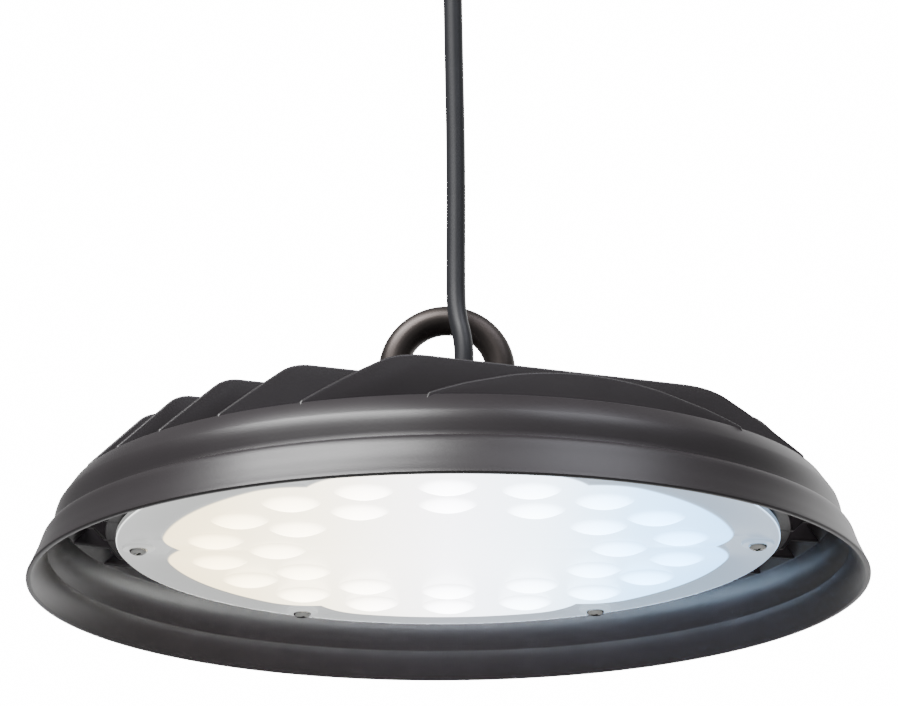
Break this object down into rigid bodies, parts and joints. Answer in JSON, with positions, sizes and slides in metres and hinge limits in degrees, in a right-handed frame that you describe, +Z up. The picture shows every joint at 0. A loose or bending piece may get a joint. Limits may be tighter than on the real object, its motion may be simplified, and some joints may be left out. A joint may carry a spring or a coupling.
{
  "type": "high bay light",
  "caption": "Round LED high bay light: finned casting with an open skirt, moulded lens plate, lifting eye and a short lead through a gland.",
  "frame": {"origin": "bearing point of the hanging hook, at the top of the eye's hole", "axes": "+Z up along the hanging axis; the eye's hole runs along Y; the gland is on the -Y side"},
  "size_m": [0.34, 0.34, 0.3158],
  "materials": {
    "casting": "satin dark grey powder coat on die-cast aluminium",
    "lens": "clear polycarbonate, lightly frosted",
    "silicone": "matt silicone",
    "board_white": "white solder mask on aluminium board",
    "led": "phosphor in silicone",
    "pad": "matt filled silicone pad",
    "screw_steel": "zinc plated",
    "eye_steel": "gloss dark stove enamel on forged steel",
    "gland_nylon": "moulded polyamide",
    "driver_laminate": "glass epoxy laminate",
    "brass": "turned brass",
    "ferrite": "sintered ferrite with winding",
    "can_sleeve": "shrunk sleeve",
    "switch_epoxy": "moulded epoxy",
    "terminal_polyamide": "moulded polyamide",
    "lead_insulation": "silicone insulation",
    "cord_rubber": "smooth dark blue-grey rubber",
    "core_brown": "insulation",
    "core_blue": "insulation",
    "core_green_yellow": "striped insulation",
    "ferrule_tin": "tinned copper"
  },
  "bodies": {
    "root": {"housing": "casting", "hub_cover": "casting", "lens": "lens", "lens_gasket": "silicone", "cover_gasket": "silicone", "gland_o_ring": "silicone", "gland_seal": "silicone", "lead_grommet": "silicone", "led_board": "board_white", "leds": "led", "thermal_pad": "pad", "lens_screws": "screw_steel", "board_screws": "screw_steel", "cover_screws": "screw_steel", "driver_screws": "screw_steel", "eye_bolt": "eye_steel", "eye_washer": "screw_steel", "eye_nut": "screw_steel", "gland_body": "gland_nylon", "gland_dome_nut": "gland_nylon", "gland_locknut": "gland_nylon", "breather_plug": "gland_nylon", "driver_board": "driver_laminate", "driver_standoffs": "brass", "transformer": "ferrite", "capacitors": "can_sleeve", "choke": "ferrite", "power_switches": "switch_epoxy", "terminal_block": "terminal_polyamide", "led_leads": "lead_insulation", "cord_jacket": "cord_rubber", "inner_core_brown": "core_brown", "core_brown": "core_brown", "inner_core_blue": "core_blue", "core_blue": "core_blue", "inner_core_green_yellow": "core_green_yellow", "core_green_yellow": "core_green_yellow", "core_ferrules": "ferrule_tin"}
  },
  "joints": []
}
